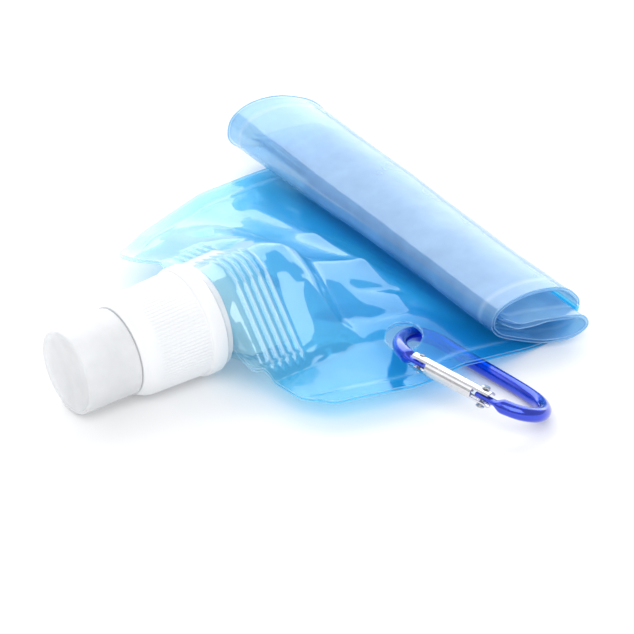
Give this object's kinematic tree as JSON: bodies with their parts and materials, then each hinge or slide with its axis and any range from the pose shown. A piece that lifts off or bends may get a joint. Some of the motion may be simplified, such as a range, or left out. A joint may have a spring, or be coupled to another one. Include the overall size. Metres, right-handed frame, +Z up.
{
  "type": "folding water bottle",
  "caption": "Soft blue film pouch bottle lying flat with its base end rolled up, a white screw cap with a pull-up valve and frosted overcap, and a small blue carabiner through a corner hole.",
  "frame": {"origin": "on the table under the middle of the outline of the bottle as it lies with its base rolled up", "axes": "+X runs along the roll, across the pouch, towards the corner with the carabiner; +Y runs from the mouth to the rolled base; +Z is up from the table"},
  "size_m": [0.1625, 0.1364, 0.0303],
  "materials": {
    "clear_spout": "pale translucent moulding, smooth",
    "blue_film_upper": "glossy see-through blue film, lightly creased",
    "blue_film_lower": "glossy see-through blue film",
    "soft_silicone": "matte soft washer",
    "white_cap_plastic": "satin white with a fine knurl",
    "white_valve_plastic": "satin white",
    "frosted_overcap_plastic": "frosted, lets light through",
    "blue_film_rolled_inside": "glossy see-through blue film",
    "blue_film_rolled_outside": "glossy see-through blue film with a pale sheen",
    "blue_gusset_strip": "blue film strip",
    "blue_anodised_aluminium": "glossy dark blue anodised",
    "bright_gate_steel": "bright polished sheet steel",
    "rivet_steel": "plain steel",
    "pin_steel": "plain steel",
    "spring_steel": "drawn spring wire"
  },
  "bodies": {
    "pouch": {"spout": "clear_spout", "front_film": "blue_film_upper", "back_film": "blue_film_lower"},
    "liner": {"seal_ring": "soft_silicone"},
    "collar": {"collar": "white_cap_plastic"},
    "nozzle": {"nozzle": "white_valve_plastic"},
    "overcap": {"overcap": "frosted_overcap_plastic"},
    "roll": {"rolled_front_film": "blue_film_rolled_inside", "rolled_back_film": "blue_film_rolled_outside", "base_gusset": "blue_gusset_strip"},
    "carabiner": {"carabiner_body": "blue_anodised_aluminium", "gate_rivet": "rivet_steel"},
    "gate": {"gate": "bright_gate_steel", "catch_pin": "pin_steel", "gate_spring": "spring_steel"}
  },
  "joints": [
    {"name": "collar_lift", "type": "slide", "parent": "pouch", "child": "liner", "axis": [0, -0.9969, -0.0785], "range_m": [0, 0.0041]},
    {"name": "collar_unscrew", "type": "hinge", "parent": "liner", "child": "collar", "pos_m": [0.0032, -0.02653, 0.01536], "axis": [0, -0.9969, -0.0785], "range_deg": [0, 450]},
    {"name": "nozzle_pull", "type": "slide", "parent": "collar", "child": "nozzle", "axis": [0, -0.9969, -0.0785], "range_m": [0, 0.0044]},
    {"name": "overcap_pull", "type": "slide", "parent": "collar", "child": "overcap", "axis": [0, -0.9969, -0.0785], "range_m": [0, 0.02]},
    {"name": "roll_unroll", "type": "hinge", "parent": "pouch", "child": "roll", "pos_m": [-0.017, 0.0682, 0.0064], "axis": [-1, 0, 0], "range_deg": [0, 150]},
    {"name": "carabiner_swing", "type": "hinge", "parent": "pouch", "child": "carabiner", "pos_m": [0.0308, 0.0193, 0.0074], "axis": [0, 0, 1], "range_deg": [-8, 6]},
    {"name": "gate_open", "type": "hinge", "parent": "carabiner", "child": "gate", "pos_m": [0.06916, 0.01761, 0.00972], "axis": [0.0326, -0.3952, -0.918], "range_deg": [0, 12], "stiffness_Nm_per_rad": 0.01, "springref_deg": -17.19}
  ],
  "couplings": [
    {"joint": "collar_lift", "follows": "collar_unscrew", "m_per_rad": 0.0005093}
  ]
}
